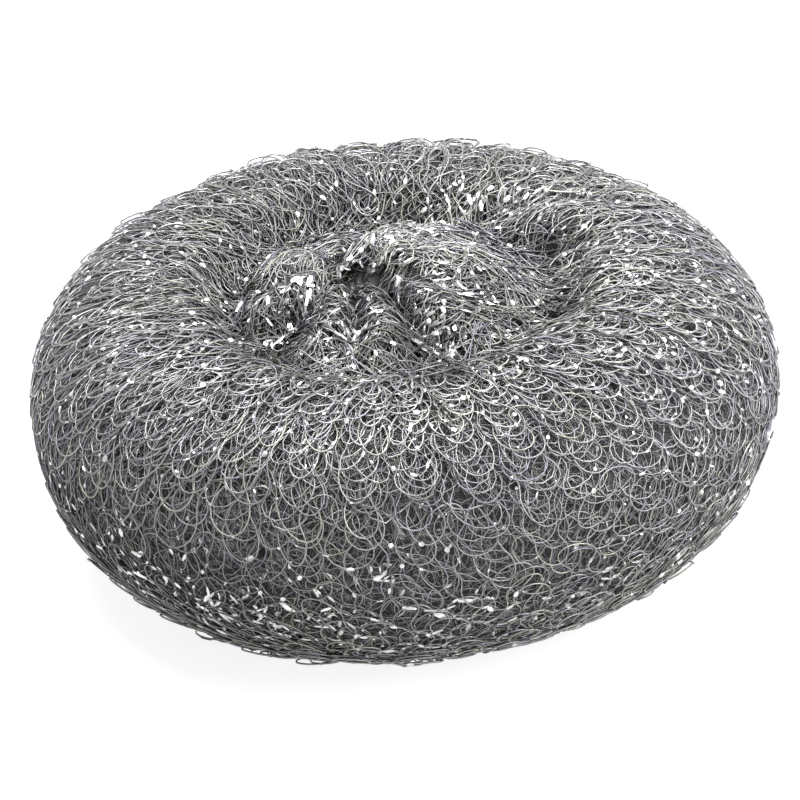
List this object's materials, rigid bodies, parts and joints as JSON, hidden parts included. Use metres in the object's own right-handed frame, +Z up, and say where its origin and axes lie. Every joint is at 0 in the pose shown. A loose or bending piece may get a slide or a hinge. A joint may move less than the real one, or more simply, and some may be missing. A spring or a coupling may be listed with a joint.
{
  "type": "knitted wire mesh scourer",
  "caption": "Round scouring pad of knitted galvanised wire mesh: a flattened cushion with a gathered, pleated knot sunk in its middle.",
  "frame": {"origin": "middle of the base, on the surface that the pad rests on", "axes": "+Z up through the gathered knot, -Y towards the pictured front"},
  "size_m": [0.101, 0.0986, 0.0429],
  "materials": {
    "galvanised_wire": "bright galvanised wire, a little dull"
  },
  "bodies": {
    "root": {"knitted_wire_pad": "galvanised_wire"}
  },
  "joints": []
}
